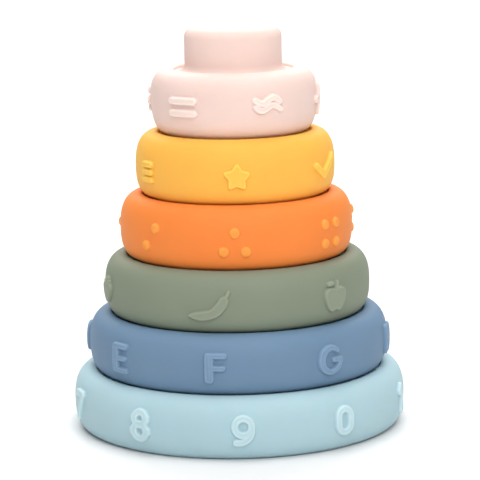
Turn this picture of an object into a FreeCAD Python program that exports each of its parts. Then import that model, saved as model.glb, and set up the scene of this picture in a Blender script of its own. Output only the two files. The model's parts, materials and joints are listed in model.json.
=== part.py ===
import FreeCAD, Part

import math
import os
from dataclasses import dataclass, field

# Stacking toy: six soft one-piece rings that pile up into a tower, widest at the bottom.
# Each ring is an open-bottomed shell with a bulging wall, a shallow seat on top and a
# hollow boss in the middle. The boss drops into the socket under the ring above, and the
# rim of that ring rests on small ribs in the seat. The boss of the top ring is the knob,
# and its seat carries nothing, so it is only a narrow groove without ribs.
# Millimetres. Z is the tower's axis, Z = 0 is the surface that it stands on, and symbols
# are placed by their angle about Z from the front, -Y, towards +X.

# ---- Overall sizes -------------------------------------------------------------------
BASE_DIAMETER = 125.0
TOP_DIAMETER = 62.0

# Height from each ring's rim up to its seat, bottom ring first
NUMBER_RING_HEIGHT = 21.8
LETTER_RING_HEIGHT = 21.4
FRUIT_RING_HEIGHT = 21.7
DOT_RING_HEIGHT = 22.9
SHAPE_RING_HEIGHT = 23.1
SIGN_RING_HEIGHT = 23.3

# ---- Bulging wall --------------------------------------------------------------------
WIDEST_HEIGHT = 11.1          # where the wall is widest, above the rim
FOOT_ROUND = 6.3              # how far the wall tucks in at the rim
SHOULDER_ROUND = 7.8          # how far it tucks in at the crest
FOOT_FULLNESS = 2.6           # 2 is a plain ellipse, more is squarer
SHOULDER_FULLNESS = 2.5
TOP_WIDEST_HEIGHT = 14.7      # the top ring is more like a bun
TOP_FOOT_ROUND = 7.6
TOP_FOOT_FULLNESS = 2.9

# ---- Shell ---------------------------------------------------------------------------
WALL = 3.2
WEB = 3.0                     # floor of the seat
SKIRT_WALL = 2.6              # sleeve that forms the socket, down to the rim
NARROWEST_CHANNEL = 4.0       # a narrower gap round the sleeve is left filled

# ---- Seat ----------------------------------------------------------------------------
CREST_RISE = 0.8              # the lip stands this far above the seat
LIP_ROUND = 1.0
RIB_HEIGHT = 0.8              # ribs lift the ring above off the floor, so it never sticks
RIB_WIDTH = 1.4
RIB_COUNT = 30
RIB_UNDER_RIM = 2.0           # how far the ribs reach in under the rim they carry
RIB_TO_LIP = 0.5
REST_GAP = 0.05

# ---- Boss and knob -------------------------------------------------------------------
BOSS_DIAMETER = 36.4
KNOB_HEIGHT = 16.0            # top ring's boss above its seat
BOSS_EDGE_ROUND = 3.8
KNOB_FOOT_ROUND = 3.0         # the knob's foot flows into the ring
KNOB_GROOVE = 0.4             # depth of the groove round the knob's foot, below the seat
NARROWEST_GROOVE = 0.6        # floor left between the foot's round and the lip
SOCKET_CLEARANCE = 0.6        # radial play of a boss in the socket above it
BOSS_HEADROOM = 2.0
NARROWEST_SEAT = 2.5          # smallest gap from the boss to the lip

# ---- Raised symbols ------------------------------------------------------------------
RELIEF = 1.3                  # how far a symbol stands out of the wall
RELIEF_ROOT = 1.5             # how far it is sunk into the wall
DIGIT_STROKE = 2.5
LETTER_STROKE = 2.0
STEM_STROKE = 3.3             # upright strokes of the letters are thicker
SIGN_STROKE = 2.7
WAVE_STROKE = 2.3
SHAPE_STROKE = 2.4
STALK_STROKE = 1.2
DOT_DIAMETER = 3.7
STAR_ROUND = 0.8              # rounding of the star's tips

# Middle of the symbols above each ring's rim
DIGIT_HEIGHT = 11.5
LETTER_HEIGHT = 11.1
FRUIT_HEIGHT = 11.2
DOT_HEIGHT = 11.5
SHAPE_HEIGHT = 11.1
SIGN_HEIGHT = 12.3

CURVE_POINTS = 9              # points that each rounded quarter is splined through
RIBBON_STATIONS = 12          # pieces that a wavy stroke's sides are splined over
AXIS = FreeCAD.Vector(0, 0, 1)
BOSS_RADIUS = BOSS_DIAMETER / 2
SOCKET_RADIUS = BOSS_RADIUS + SOCKET_CLEARANCE


# ---- Flat shapes of the symbols, drawn in a plane: x to the right, y upwards -----------
def flat(x, y):
    """A point of the drawing plane."""
    return FreeCAD.Vector(x, y, 0)


def bar(x0, y0, x1, y1, width):
    """A straight stroke with round ends."""
    length = math.hypot(x1 - x0, y1 - y0)
    half = width / 2
    edges = [
        Part.LineSegment(flat(0, -half), flat(length, -half)),
        Part.Arc(flat(length, -half), flat(length + half, 0), flat(length, half)),
        Part.LineSegment(flat(length, half), flat(0, half)),
        Part.Arc(flat(0, half), flat(-half, 0), flat(0, -half)),
    ]
    face = Part.Face(Part.Wire([e.toShape() for e in edges]))
    face.rotate(flat(0, 0), AXIS, math.degrees(math.atan2(y1 - y0, x1 - x0)))
    face.translate(flat(x0, y0))
    return face


def bend(x, y, radius, start, sweep, width):
    """A round stroke about (x, y) from angle start through sweep, with round ends."""
    half = width / 2

    def at(r, angle):
        turn = math.radians(angle)
        return flat(x + r * math.cos(turn), y + r * math.sin(turn))

    def cap(angle, way):
        middle = at(radius, angle)
        turn = math.radians(angle + way)
        tip = middle + flat(half * math.cos(turn), half * math.sin(turn))
        return tip

    end, middle = start + sweep, start + sweep / 2
    ahead = 90 if sweep > 0 else -90
    outer, inner = radius + half, radius - half
    edges = [
        Part.Arc(at(outer, start), at(outer, middle), at(outer, end)),
        Part.Arc(at(outer, end), cap(end, ahead), at(inner, end)),
        Part.Arc(at(inner, end), at(inner, middle), at(inner, start)),
        Part.Arc(at(inner, start), cap(start, -ahead), at(outer, start)),
    ]
    return Part.Face(Part.Wire([e.toShape() for e in edges]))


def hoop(x, y, radius, width):
    """A closed round stroke."""
    rims = [
        Part.Wire(Part.Circle(flat(x, y), AXIS, radius + side * width / 2).toShape())
        for side in (1, -1)
    ]
    return Part.Face(rims, "Part::FaceMakerBullseye")


def disc(x, y, radius):
    """A round spot."""
    return Part.Face(Part.Wire(Part.Circle(flat(x, y), AXIS, radius).toShape()))


def blob(*points):
    """A smooth closed outline through the points."""
    curve = Part.BSplineCurve()
    curve.interpolate(Points=[flat(*p) for p in points], PeriodicFlag=True)
    return Part.Face(Part.Wire(curve.toShape()))


def polygon(points):
    """A straight-sided closed outline."""
    corners = [flat(*p) for p in points]
    return Part.Face(Part.makePolygon(corners + corners[:1]))


def path(width, *points):
    """Straight strokes from point to point."""
    return [bar(*a, *b, width) for a, b in zip(points, points[1:])]


def stem(x, bottom, top):
    """A thick upright stroke about x with rounded corners."""
    side = (STEM_STROKE - LETTER_STROKE) / 2
    corners = [(x - side, bottom), (x + side, bottom), (x + side, top), (x - side, top), (x - side, bottom)]
    return path(LETTER_STROKE, *corners)


def ribbon(width, *points):
    """A smooth stroke through the points, with round ends."""
    middle = Part.BSplineCurve()
    middle.interpolate(Points=[flat(*p) for p in points])
    first, last = middle.FirstParameter, middle.LastParameter
    stations = [first + (last - first) * k / RIBBON_STATIONS for k in range(RIBBON_STATIONS + 1)]
    half = width / 2
    left, right = [], []
    for station in stations:
        spot = middle.value(station)
        ahead = middle.tangent(station)[0]
        aside = flat(-ahead.y, ahead.x) * half
        left.append(spot + aside)
        right.append(spot - aside)
    tips = [
        middle.value(last) + middle.tangent(last)[0] * half,
        middle.value(first) - middle.tangent(first)[0] * half,
    ]
    sides = []
    for points in (right, left[::-1]):
        side = Part.BSplineCurve()
        side.interpolate(Points=points)
        sides.append(side.toShape())
    caps = [Part.Arc(right[-1], tips[0], left[-1]).toShape(), Part.Arc(left[0], tips[1], right[0]).toShape()]
    return Part.Face(Part.Wire([sides[0], caps[0], sides[1], caps[1]]))


def digit(number):
    """Strokes of a plain round-ended digit, about 11.5 tall."""
    w = DIGIT_STROKE
    top = 5.65 - w / 2
    side = 2.75
    strokes = {
        0: lambda: [
            bend(0, 1.4, side, 0, 180, w),
            bend(0, -1.4, side, 180, 180, w),
            bar(-side, 1.4, -side, -1.4, w),
            bar(side, 1.4, side, -1.4, w),
        ],
        1: lambda: path(w, (-1.9, 2.7), (0.7, top), (0.7, -top)),
        2: lambda: [
            bend(0, 1.8, 2.7, 165, -195, w),
            *path(w, (2.34, 0.45), (-2.8, -top), (2.9, -top)),
        ],
        3: lambda: [
            bend(-0.2, 2.2, 2.3, 145, -235, w),
            bend(-0.2, -2.1, 2.45, 90, -235, w),
        ],
        4: lambda: path(w, (3.2, -1.9), (-3.1, -1.9), (1.3, top), (1.3, -top)),
        5: lambda: [
            *path(w, (2.5, top), (-1.9, top), (-2.3, 0.5)),
            bend(-0.2, -1.6, 2.95, 132, -270, w),
        ],
        6: lambda: [
            hoop(0, -1.35, 3.0, w),
            bar(-3.0, -1.35, -3.0, 0.05, w),
            bend(1.25, 0.05, 4.25, 180, -90, w),
            bar(1.25, 4.3, 2.45, 4.3, w),
        ],
        7: lambda: path(w, (-3.0, top), (3.0, top), (-1.2, -top)),
        8: lambda: [
            hoop(0, 2.35, 2.35, w),
            *[bar(x, 1.9, x, 2.8, w) for x in (-2.65, 2.65)],
            hoop(0, -2.1, 2.65, w + 0.1),
            *[bar(x, -2.6, x, -1.6, w + 0.1) for x in (-3.0, 3.0)],
        ],
        9: lambda: [
            hoop(0, 1.35, 3.0, w),
            bar(3.0, 1.35, 3.0, -0.05, w),
            bend(-1.25, -0.05, 4.25, 0, -90, w),
            bar(-1.25, -4.3, -2.45, -4.3, w),
        ],
    }
    return strokes[number]()


def letter(name):
    """Strokes of a plain round-ended capital, about 10.7 tall, with thick uprights."""
    w = LETTER_STROKE
    top = 5.35 - w / 2
    left = -2.4
    strokes = {
        "A": lambda: [
            *path(w + 0.5, (-3.5, -top), (0, top), (3.5, -top)),
            bar(-2.2, -1.6, 2.2, -1.6, w),
        ],
        "B": lambda: [
            *stem(left, -top, top),
            bar(left, top, 0.3, top, w),
            bar(left, 0.2, 0.3, 0.2, w),
            bar(left, -top, 0.5, -top, w),
            bend(0.3, 2.275, 2.075, 90, -180, w),
            bend(0.5, -2.075, 2.275, 90, -180, w),
        ],
        "C": lambda: [
            bend(0.2, 0, top, 48, 264, w),
            bend(0.9, 0, top, 110, 140, w),
        ],
        "D": lambda: [
            *stem(left, -top, top),
            bar(left, top, -0.6, top, w),
            bar(left, -top, -0.6, -top, w),
            bend(-0.6, 0, top, 90, -180, w),
        ],
        "E": lambda: [
            *stem(left, -top, top),
            bar(left, top, 3.1, top, w),
            bar(left, 0, 2.6, 0, w),
            bar(left, -top, 3.1, -top, w),
        ],
        "F": lambda: [
            *stem(left, -top, top),
            bar(left, top, 3.1, top, w),
            bar(left, 0, 2.7, 0, w),
        ],
        "G": lambda: [
            bend(0.1, 0, top, 50, 310, w),
            bend(0.9, 0, top, 110, 140, w),
            bar(1.6, 0, 4.5, 0, w),
        ],
        "H": lambda: [
            *stem(left, -top, top),
            *stem(-left, -top, top),
            bar(left, 0, -left, 0, w),
        ],
    }
    return strokes[name]()


def mirrored(*points):
    """The points, from the top down on the right, and their mirror images up the left."""
    return [*points, *[(-x, y) for x, y in points[::-1] if x]]


def fruit(name):
    """Filled outline of a fruit with its stalk, about 11 tall."""
    w = STALK_STROKE
    leaves = [math.radians(a) for a in (-70, 0, 35, 75)]
    shapes = {
        "pear": lambda: [
            blob(*mirrored((0, 2.7), (1.7, 1.2), (3.6, -1.6), (3.2, -4.4), (0, -5.6))),
            bar(0.1, 2.4, 0.8, 5.0, w),
        ],
        "banana": lambda: [
            blob(
                (-7.7, -3.6), (-5.4, -2.6), (-2.1, -2.1), (0.6, -1.4), (2.7, 0.8), (4.4, 2.9), (6.4, 3.2),
                (7.0, 1.0), (5.2, -2.1), (2.3, -4.3), (-2.2, -5.4), (-5.3, -5.0), (-7.2, -4.2),
            ),
            bar(6.1, 2.8, 7.1, 4.8, w),
        ],
        "apple": lambda: [
            blob(*mirrored(
                (0, 2.6), (2.6, 3.3), (4.9, 2.0), (5.2, -0.6), (4.1, -3.4), (2.2, -5.4), (0, -4.9),
            )),
            bar(0.6, 2.6, 1.3, 5.0, w),
            bar(-1.4, 4.7, -3.1, 4.5, w + 0.3),
        ],
        "strawberry": lambda: [
            blob(*mirrored((0, 2.1), (2.7, 2.7), (4.7, 1.2), (4.0, -1.4), (1.9, -3.9), (0, -4.8))),
            *[bar(0, 2.4, 2.6 * math.sin(a), 2.4 + 1.9 * math.cos(a), w + 0.2) for a in leaves],
        ],
        "cherries": lambda: [
            disc(-3.0, -3.0, 2.6),
            disc(3.0, -2.4, 2.6),
            *path(w, (-2.6, -1.0), (-0.9, 2.3), (1.4, 4.9), (2.3, 2.2), (2.8, -0.6)),
        ],
        "lemon": lambda: [
            blob(*mirrored((0, 4.2), (2.6, 3.5), (4.4, 1.4), (6.2, 0), (4.4, -1.4), (2.6, -3.5), (0, -4.2))),
        ],
    }
    return shapes[name]()


def star():
    """A star of five round tips, filled."""
    tips = 5
    radii = (4.1, 2.35)
    corners = [
        (radii[k % 2] * math.sin(math.pi * k / tips), radii[k % 2] * math.cos(math.pi * k / tips) - 0.1)
        for k in range(2 * tips)
    ]
    return [polygon(corners), *path(2 * STAR_ROUND, *corners, corners[0])]


def shape(name):
    """A simple sign or figure, about 9.5 tall."""
    w = SHAPE_STROKE
    shapes = {
        "bars": lambda: [bar(-2.2, y, 2.2, y, w - 0.2) for y in (2.8, 0, -2.8)],
        "star": star,
        "tick": lambda: path(w + 0.2, (-5.2, 1.4), (-0.5, -2.2), (6.9, 3.8)),
        "heart": lambda: [
            blob(*mirrored((0, 2.6), (1.8, 4.2), (4.2, 3.8), (5.0, 1.4), (3.4, -1.9), (0, -4.9))),
        ],
        "circle": lambda: [hoop(0, 0, 3.5, w)],
        "triangle": lambda: path(w, (-4.0, -3.3), (0, 3.6), (4.0, -3.3), (-4.0, -3.3)),
    }
    return shapes[name]()


def sign(name):
    """A sign of arithmetic, about 9 tall."""
    w = SIGN_STROKE
    reach = 4.7
    gap = 2.2
    slant = 3.4
    spot = w / 2
    signs = {
        "divide": lambda: [
            bar(-reach, 0, reach, 0, w),
            disc(0, w + 0.5, spot),
            disc(0, -w - 0.5, spot),
        ],
        "equals": lambda: [bar(-reach, y, reach, y, w) for y in (gap, -gap)],
        "waves": lambda: [
            ribbon(
                WAVE_STROKE,
                (-4.5, 2.4), (-3.2, 1.6), (-1.5, 1.3), (0.2, 2.4), (1.9, 3.4), (3.4, 3.0), (4.7, 2.0),
            ),
            ribbon(
                WAVE_STROKE,
                (-4.3, -0.1), (-3.2, -1.0), (-1.7, -1.2), (-0.1, -0.3), (1.6, 0.6), (3.4, 0.2), (5.0, -0.9),
            ),
        ],
        "plus": lambda: [bar(-reach, 0, reach, 0, w), bar(0, -reach, 0, reach, w)],
        "minus": lambda: [bar(-reach, 0, reach, 0, w)],
        "times": lambda: [bar(-slant, -slant, slant, slant, w), bar(-slant, slant, slant, -slant, w)],
    }
    return signs[name]()


def dots(count):
    """Places of the dots in one group, laid out as on a die."""
    square = [(x, y) for x in (-3.3, 3.3) for y in (-3.7, 3.3)]
    ring = [math.radians(a) for a in range(0, 360, 60)]
    groups = {
        1: [(0, 0)],
        2: [(-2.45, -3.1), (2.35, 3.5)],
        3: [(0, 3.2), (-4.0, -3.6), (4.0, -3.6)],
        4: square,
        5: square + [(0, -0.2)],
        6: [(x, y) for x in (-4.2, 0, 4.2) for y in (-3.0, 3.0)],
        7: [(0, 0)] + [(4.4 * math.cos(a), 4.4 * math.sin(a)) for a in ring],
    }
    return groups[count]


# ---- Rings ---------------------------------------------------------------------------
@dataclass
class Ring:
    """One ring: its name, its place in the tower, its size, and its symbols."""

    name: str
    rim: float
    height: float
    radius: float
    boss_height: float
    foot_above: float
    symbol_height: float
    top: bool = False
    symbols: list = field(default_factory=list)

    @property
    def widest(self):
        """Height of the widest place above the rim."""
        return TOP_WIDEST_HEIGHT if self.top else WIDEST_HEIGHT

    @property
    def foot(self):
        """Outer radius of the rim."""
        return foot_radius(self.radius, self.top)

    @property
    def crest(self):
        """Radius of the highest line of the lip. The shoulder gives way to the boss."""
        return max(self.radius - SHOULDER_ROUND, BOSS_RADIUS + NARROWEST_SEAT + LIP_ROUND)

    @property
    def lip(self):
        """Radius of the seat's wall."""
        return self.crest - LIP_ROUND

    @property
    def floor(self):
        """Height of the seat's floor above the rim."""
        return self.height - (KNOB_GROOVE if self.top else RIB_HEIGHT)

    @property
    def boss_foot(self):
        """Rounding between the seat's floor and the boss."""
        return min(KNOB_FOOT_ROUND, self.lip - BOSS_RADIUS - NARROWEST_GROOVE) if self.top else 0

    @property
    def ceiling(self):
        """Height of the web's underside above the rim."""
        return self.floor - WEB

    def outside(self, grow=0.0):
        """Edges of the bulging wall from rim to crest, moved outwards by grow."""
        foot_fullness = TOP_FOOT_FULLNESS if self.top else FOOT_FULLNESS
        top = self.height + CREST_RISE + grow
        below = rounded_quarter(self.foot, self.radius + grow, self.widest, -grow, foot_fullness)
        above = rounded_quarter(self.crest, self.radius + grow, self.widest, top, SHOULDER_FULLNESS)
        outwards, upwards = point(1, 0), point(0, 1)
        return [spline(below, outwards, upwards), spline(above[::-1], upwards, outwards * -1)]

    def inside(self):
        """Corners of the section from the seat's lip round the boss to the rim."""
        boss_top = self.height + self.boss_height
        hollow_top = boss_top - WALL
        hollow = BOSS_RADIUS - WALL
        skirt = SOCKET_RADIUS + SKIRT_WALL
        cavity = self.foot - WALL
        under = [
            (0, hollow_top),
            (hollow, hollow_top),
            (hollow, self.ceiling),
            (SOCKET_RADIUS, self.ceiling),
        ]
        if cavity - skirt >= NARROWEST_CHANNEL:
            under += [
                (SOCKET_RADIUS, 0),
                (skirt, 0),
                (skirt, self.ceiling),
                (cavity, self.ceiling),
                (cavity, 0),
            ]
        else:
            under += [(SOCKET_RADIUS, 0)]
        return boss_top, under

    def shell(self):
        """The plain ring as a solid of revolution."""
        crest_height = self.height + CREST_RISE
        boss_top, under = self.inside()
        edge = BOSS_RADIUS - BOSS_EDGE_ROUND
        diagonal = math.sqrt(0.5)
        lip_arc = Part.Arc(
            point(self.crest, crest_height),
            point(self.crest - LIP_ROUND * diagonal, crest_height - LIP_ROUND * (1 - diagonal)),
            point(self.lip, crest_height - LIP_ROUND),
        )
        boss_arc = Part.Arc(
            point(BOSS_RADIUS, boss_top - BOSS_EDGE_ROUND),
            point(edge + BOSS_EDGE_ROUND * diagonal, boss_top - BOSS_EDGE_ROUND * (1 - diagonal)),
            point(edge, boss_top),
        )
        foot = self.boss_foot
        edges = self.outside() + [lip_arc.toShape()]
        edges += polyline([
            (self.lip, crest_height - LIP_ROUND),
            (self.lip, self.floor),
            (BOSS_RADIUS + foot, self.floor),
        ])
        if foot:
            foot_arc = Part.Arc(
                point(BOSS_RADIUS + foot, self.floor),
                point(BOSS_RADIUS + foot * (1 - diagonal), self.floor + foot * (1 - diagonal)),
                point(BOSS_RADIUS, self.floor + foot),
            )
            edges.append(foot_arc.toShape())
        edges += polyline([(BOSS_RADIUS, self.floor + foot), (BOSS_RADIUS, boss_top - BOSS_EDGE_ROUND)])
        edges.append(boss_arc.toShape())
        edges += polyline([(edge, boss_top), (0, boss_top), *under, (self.foot, 0)])
        return revolve(edges)

    def ribs(self):
        """The ribs in the seat that carry the rim of the ring above, if there is one."""
        if self.top:
            return []
        inner = max(self.foot_above - RIB_UNDER_RIM, BOSS_RADIUS + RIB_WIDTH)
        outer = self.lip - RIB_TO_LIP
        rib = bar(inner + RIB_WIDTH / 2, 0, outer - RIB_WIDTH / 2, 0, RIB_WIDTH)
        solid = rib.extrude(FreeCAD.Vector(0, 0, RIB_HEIGHT - REST_GAP + WEB / 2))
        solid.translate(FreeCAD.Vector(0, 0, self.floor - WEB / 2))
        pattern = []
        for k in range(RIB_COUNT):
            copy = solid.copy()
            copy.rotate(FreeCAD.Vector(), AXIS, 360 * k / RIB_COUNT)
            pattern.append(copy)
        return pattern

    def relief(self):
        """The raised symbols, each cut to a layer that follows the bulging wall."""
        skin = self.skin()
        depth = self.radius / 2
        solids = []
        for angle, faces in self.symbols:
            strokes = [face.extrude(FreeCAD.Vector(0, 0, depth)) for face in faces]
            block = strokes[0].fuse(strokes[1:]).removeSplitter() if strokes[1:] else strokes[0]
            place = outward(angle, self.radius + RELIEF - depth, self.symbol_height)
            block.Placement = place.multiply(block.Placement)
            solids += block.common(skin).Solids
        return solids

    def skin(self):
        """A layer over the wall, from the root of the symbols to their face."""
        grown = self.outside(RELIEF)
        sunk = self.outside(-RELIEF_ROOT)
        ends = [
            Part.LineSegment(sunk[0].Vertexes[0].Point, grown[0].Vertexes[0].Point).toShape(),
            Part.LineSegment(sunk[1].Vertexes[-1].Point, grown[1].Vertexes[-1].Point).toShape(),
        ]
        return revolve(grown + sunk + ends)

    def build(self):
        """The finished ring, in its place in the tower."""
        solid = self.shell().fuse(self.ribs() + self.relief())
        solid = max(solid.Solids, key=lambda s: s.Volume)
        solid.translate(FreeCAD.Vector(0, 0, self.rim))
        return solid


@dataclass
class DotRing(Ring):
    """A ring whose symbols are groups of round dots."""

    def relief(self):
        """The dots, as balls sunk into the wall."""
        ball = ((DOT_DIAMETER / 2) ** 2 + RELIEF**2) / (2 * RELIEF)
        solids = []
        for angle, places in self.symbols:
            for x, y in places:
                height = self.symbol_height + y
                wall = self.wall_radius(height)
                turn = angle + math.degrees(x / self.radius)
                middle = outward(turn, wall + RELIEF - ball, height).Base
                solids.append(Part.makeSphere(ball, middle))
        return solids

    def wall_radius(self, height):
        """Radius of the wall at a height above the rim."""
        plane = Part.LineSegment(point(0, height), point(2 * self.radius, height)).toShape()
        hits = [edge.distToShape(plane) for edge in self.outside()]
        return min(hits, key=lambda hit: hit[0])[1][0][0].x


def point(radius, height):
    """A point of the section, in the plane of X and Z."""
    return FreeCAD.Vector(radius, 0, height)


def rounded_quarter(inner, outer, widest, end, fullness):
    """Points of a quarter of a superellipse, from (inner, end) out to (outer, widest)."""
    points = []
    for k in range(CURVE_POINTS):
        turn = math.pi / 2 * k / (CURVE_POINTS - 1)
        across = math.sin(turn) ** (2 / fullness)
        along = max(math.cos(turn), 0) ** (2 / fullness)
        points.append(point(inner + (outer - inner) * across, widest + (end - widest) * along))
    return points


def spline(points, leaving, arriving):
    """A smooth edge through the points, with its direction at each end."""
    curve = Part.BSplineCurve()
    curve.interpolate(Points=points, InitialTangent=leaving, FinalTangent=arriving)
    return curve.toShape()


def polyline(corners):
    """Straight edges from corner to corner of the section."""
    spots = [point(*c) for c in corners]
    return [Part.LineSegment(a, b).toShape() for a, b in zip(spots, spots[1:])]


def revolve(edges):
    """The solid that a closed section sweeps about the tower's axis."""
    wire = Part.Wire(Part.__sortEdges__(edges))
    return Part.Face(wire).revolve(FreeCAD.Vector(), AXIS, 360)


def outward(angle, radius, height):
    """Placement of a drawing plane that faces outwards at an angle round the tower."""
    turn = math.radians(angle)
    across = FreeCAD.Vector(math.cos(turn), math.sin(turn), 0)
    normal = FreeCAD.Vector(math.sin(turn), -math.cos(turn), 0)
    place = FreeCAD.Vector(normal.x * radius, normal.y * radius, height)
    matrix = FreeCAD.Matrix(
        across.x, AXIS.x, normal.x, place.x,
        across.y, AXIS.y, normal.y, place.y,
        across.z, AXIS.z, normal.z, place.z,
        0, 0, 0, 1,
    )
    return FreeCAD.Placement(matrix)


def foot_radius(radius, top):
    """Outer radius of a ring's rim. The round gives way to the socket and its wall."""
    wanted = TOP_FOOT_ROUND if top else FOOT_ROUND
    return radius - min(wanted, radius - SOCKET_RADIUS - WALL)


def placed(angles, marks):
    """Symbols with the angle that each one faces."""
    return list(zip(angles, marks))


def tower():
    """The six rings, from the bottom up."""
    fruits = ("strawberry", "banana", "apple", "pear", "cherries", "lemon")
    shapes = ("bars", "star", "tick", "heart", "circle", "triangle")
    signs = ("divide", "equals", "waves", "plus", "minus", "times")
    digits = [36 * (k - 9) + 1 for k in range(10)]
    symbols = {
        "number_ring": placed(digits, map(digit, range(10))),
        "letter_ring": placed((124, 170, 218, 267, 310, 351.5, 35.8, 80), map(letter, "ABCDEFGH")),
        "fruit_ring": placed((-73.5, -11.9, 45, 106, 168, 230), map(fruit, fruits)),
        "dot_ring": placed((-98, -45.6, -0.9, 52.1, 101, 153, 206), map(dots, range(1, 8))),
        "shape_ring": placed((-58.4, 0.9, 60, 118.7, 180, 241), map(shape, shapes)),
        "sign_ring": placed((-97, -36.9, 22.8, 83, 143, 203), map(sign, signs)),
    }
    heights = [
        NUMBER_RING_HEIGHT, LETTER_RING_HEIGHT, FRUIT_RING_HEIGHT,
        DOT_RING_HEIGHT, SHAPE_RING_HEIGHT, SIGN_RING_HEIGHT,
    ]
    middles = [DIGIT_HEIGHT, LETTER_HEIGHT, FRUIT_HEIGHT, DOT_HEIGHT, SHAPE_HEIGHT, SIGN_HEIGHT]
    last = len(heights) - 1
    step = (BASE_DIAMETER - TOP_DIAMETER) / 2 / last
    rings = []
    for k, (name, marks) in enumerate(symbols.items()):
        radius = BASE_DIAMETER / 2 - k * step
        top = k == last
        kind = DotRing if name == "dot_ring" else Ring
        boss = KNOB_HEIGHT if top else heights[k + 1] - RIB_HEIGHT - WEB - BOSS_HEADROOM
        above = BOSS_RADIUS if top else foot_radius(radius - step, k + 1 == last)
        rings.append(kind(name, sum(heights[:k]), heights[k], radius, boss, above, middles[k], top, marks))
    return rings


def main():
    """Write one STEP file for each ring."""
    os.makedirs("parts", exist_ok=True)
    for ring in tower():
        solid = ring.build()
        solid.exportStep(f"parts/{ring.name}.step")
        print(ring.name, "valid" if solid.isValid() else "not valid", round(solid.Volume / 1000, 1), "cm3")


main()
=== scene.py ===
import json
import logging
import math
from dataclasses import dataclass, field
from enum import Enum

import bpy
import numpy as np
from mathutils import Matrix, Vector


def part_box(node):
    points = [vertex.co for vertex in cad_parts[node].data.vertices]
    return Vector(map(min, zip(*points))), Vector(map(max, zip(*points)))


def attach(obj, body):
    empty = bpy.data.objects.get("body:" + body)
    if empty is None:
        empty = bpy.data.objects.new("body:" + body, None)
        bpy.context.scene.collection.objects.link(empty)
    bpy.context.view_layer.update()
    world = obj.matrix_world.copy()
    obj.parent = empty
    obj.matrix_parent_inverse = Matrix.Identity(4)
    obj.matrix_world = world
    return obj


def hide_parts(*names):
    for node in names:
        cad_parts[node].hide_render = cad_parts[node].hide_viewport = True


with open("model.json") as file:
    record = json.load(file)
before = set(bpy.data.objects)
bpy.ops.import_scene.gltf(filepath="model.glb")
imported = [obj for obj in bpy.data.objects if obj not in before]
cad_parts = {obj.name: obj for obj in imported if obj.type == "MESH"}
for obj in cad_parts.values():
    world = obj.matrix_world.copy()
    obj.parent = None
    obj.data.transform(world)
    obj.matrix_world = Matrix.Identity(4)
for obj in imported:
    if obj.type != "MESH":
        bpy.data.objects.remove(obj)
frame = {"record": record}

# Looks of a tower of six soft silicone rings. Each ring is one smooth moulding: a wall that
# bulges, a lip, a seat with small ribs, a boss, and raised symbols that swell out of the wall.
# Sizes below are in millimetres; meshes are handed to Blender in metres.

LOG = logging.getLogger("tower")
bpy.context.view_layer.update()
MM = 0.001
# Point layer holding the painted highlight: a lighter tint on the symbols standing in for the light they
# catch.
PAINTED_HIGHLIGHT_LAYER = "relief"
Array = np.ndarray


# ---- Strokes: flat shapes that say how deep inside them a point lies --------------------
class Stroke:
    """A flat shape on the wall: x to the right, y upwards, in millimetres."""

    def depth(self, x: Array, y: Array) -> Array:
        """Say how far inside the shape each point lies.

        Args:
            x: Places across the wall.
            y: Places up the wall.

        Returns:
            Distance to the outline, positive inside and negative outside.
        """
        raise NotImplementedError


@dataclass(frozen=True)
class Bar(Stroke):
    """A straight stroke with round ends."""

    x0: float
    y0: float
    x1: float
    y1: float
    width: float

    def depth(self, x: Array, y: Array) -> Array:
        """Depth inside the stroke, as in Stroke."""
        along = np.array([self.x1 - self.x0, self.y1 - self.y0])
        share = ((x - self.x0) * along[0] + (y - self.y0) * along[1]) / (along @ along)
        share = np.clip(share, 0, 1)
        gap = np.hypot(x - self.x0 - share * along[0], y - self.y0 - share * along[1])
        return self.width / 2 - gap


@dataclass(frozen=True)
class Bend(Stroke):
    """A round stroke with round ends, from angle start through sweep, in degrees."""

    x: float
    y: float
    radius: float
    start: float
    sweep: float
    width: float

    def depth(self, x: Array, y: Array) -> Array:
        """Depth inside the stroke, as in Stroke."""
        turn = np.degrees(np.arctan2(y - self.y, x - self.x)) - self.start
        turn = (turn * math.copysign(1, self.sweep)) % 360
        gap = np.abs(np.hypot(x - self.x, y - self.y) - self.radius)
        ends = []
        for angle in (self.start, self.start + self.sweep):
            end_x = self.x + self.radius * math.cos(math.radians(angle))
            end_y = self.y + self.radius * math.sin(math.radians(angle))
            ends.append(np.hypot(x - end_x, y - end_y))
        gap = np.where(turn <= abs(self.sweep), gap, np.minimum(*ends))
        return self.width / 2 - gap


@dataclass(frozen=True)
class Hoop(Stroke):
    """A closed round stroke."""

    x: float
    y: float
    radius: float
    width: float

    def depth(self, x: Array, y: Array) -> Array:
        """Depth inside the stroke, as in Stroke."""
        return self.width / 2 - np.abs(np.hypot(x - self.x, y - self.y) - self.radius)


@dataclass(frozen=True)
class Disc(Stroke):
    """A round spot."""

    x: float
    y: float
    radius: float

    def depth(self, x: Array, y: Array) -> Array:
        """Depth inside the spot, as in Stroke."""
        return self.radius - np.hypot(x - self.x, y - self.y)


def to_lines(x: Array, y: Array, start: Array, end: Array) -> Array:
    """Distance from each point to the nearest of some straight lines.

    Args:
        x: Places across the wall.
        y: Places up the wall.
        start: Start of each line, one row each.
        end: End of each line.

    Returns:
        The distance, in millimetres.
    """
    gap = np.full(x.shape, np.inf)
    for (ax, ay), (bx, by) in zip(start, end):
        ux, uy = bx - ax, by - ay
        share = np.clip(((x - ax) * ux + (y - ay) * uy) / (ux * ux + uy * uy), 0, 1)
        gap = np.minimum(gap, np.hypot(x - ax - share * ux, y - ay - share * uy))
    return gap


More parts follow.
